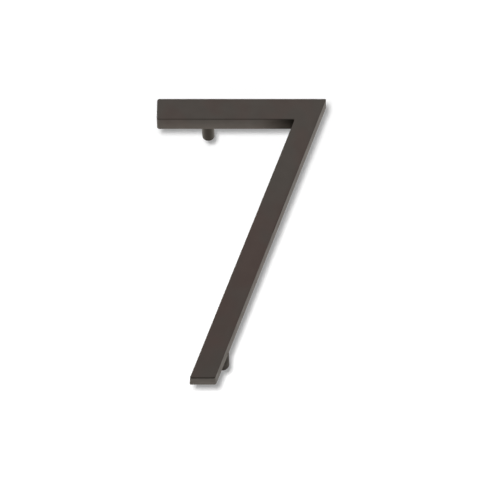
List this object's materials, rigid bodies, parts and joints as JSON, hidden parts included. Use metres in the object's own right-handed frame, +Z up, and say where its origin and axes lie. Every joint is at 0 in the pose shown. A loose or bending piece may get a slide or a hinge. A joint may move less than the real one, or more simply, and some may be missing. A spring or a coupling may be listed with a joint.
{
  "type": "house number",
  "caption": "Floating house number seven in one dark bronze casting, with a flat face, drafted sides and round posts that hold it off the wall.",
  "frame": {"origin": "centre of the upper post's wall end, at the mouth of its stud hole", "axes": "+X to the reader's right along the bar, +Z up along the numeral's height, +Y along the posts into the wall, so the face looks along -Y and the wall is the plane Y = 0"},
  "size_m": [0.0826, 0.0286, 0.1405],
  "materials": {
    "dark_bronze": "satin"
  },
  "bodies": {
    "root": {"numeral": "dark_bronze"}
  },
  "joints": []
}
